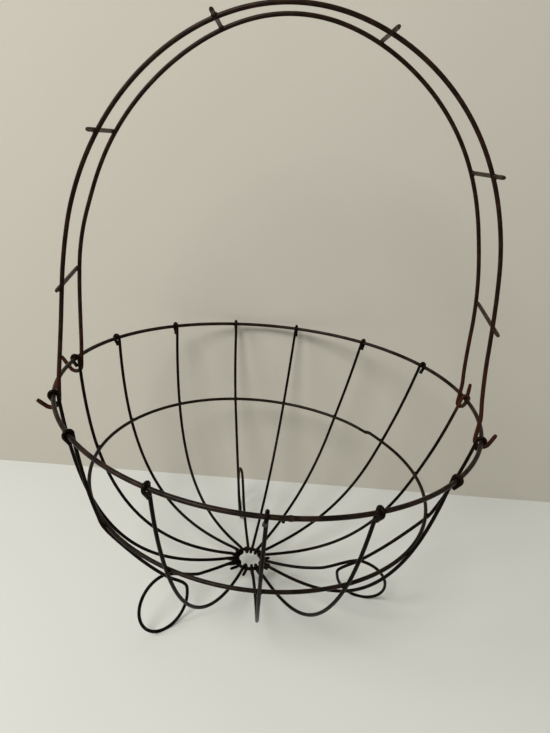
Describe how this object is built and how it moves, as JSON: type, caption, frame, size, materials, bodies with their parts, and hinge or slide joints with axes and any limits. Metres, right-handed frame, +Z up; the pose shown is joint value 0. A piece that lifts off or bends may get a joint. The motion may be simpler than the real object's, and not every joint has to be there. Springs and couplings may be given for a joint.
{
  "type": "wire gathering basket",
  "caption": "Round bowl basket of blackened wire ribs hung from a thick rim, looped wire feet, and a tall two-wire handle with crossbars hooked under the rim.",
  "frame": {"origin": "the middle of the bottom of the bounding box, on the table the three looped feet stand on", "axes": "+Z up along the bowl's axis; X from the left end of the handle's arch to its right end; -Y is the front, the side the picture is taken from"},
  "size_m": [0.3244, 0.3106, 0.4326],
  "materials": {
    "rim_steel": "blackened steel wire, dark brown patina, soft sheen, a little rust",
    "rib_steel": "blackened steel wire, nearly black, soft sheen",
    "handle_steel": "blackened steel wire, red-brown rust near the rim, rubbed brighter at the top",
    "bar_steel": "grey-brown steel wire, rubbed"
  },
  "bodies": {
    "basket": {"rim_ring": "rim_steel", "middle_ring": "rib_steel", "hub_ring": "rib_steel", "rib_01": "rib_steel", "rib_02": "rib_steel", "rib_03": "rib_steel", "rib_04": "rib_steel", "rib_05": "rib_steel", "rib_06": "rib_steel", "rib_07": "rib_steel", "rib_08": "rib_steel", "rib_09": "rib_steel", "rib_10": "rib_steel", "rib_11": "rib_steel", "rib_12": "rib_steel", "rib_13": "rib_steel", "rib_14": "rib_steel", "rib_15": "rib_steel"},
    "handle": {"handle_wire_front": "handle_steel", "handle_wire_back": "handle_steel", "crossbar_1": "bar_steel", "crossbar_2": "bar_steel", "crossbar_3": "bar_steel", "crossbar_4": "bar_steel", "crossbar_5": "bar_steel", "crossbar_6": "bar_steel"}
  },
  "joints": [
    {"name": "handle_lift", "type": "slide", "parent": "basket", "child": "handle", "axis": [0, 0, 1], "range_m": [0, 0.005]}
  ]
}
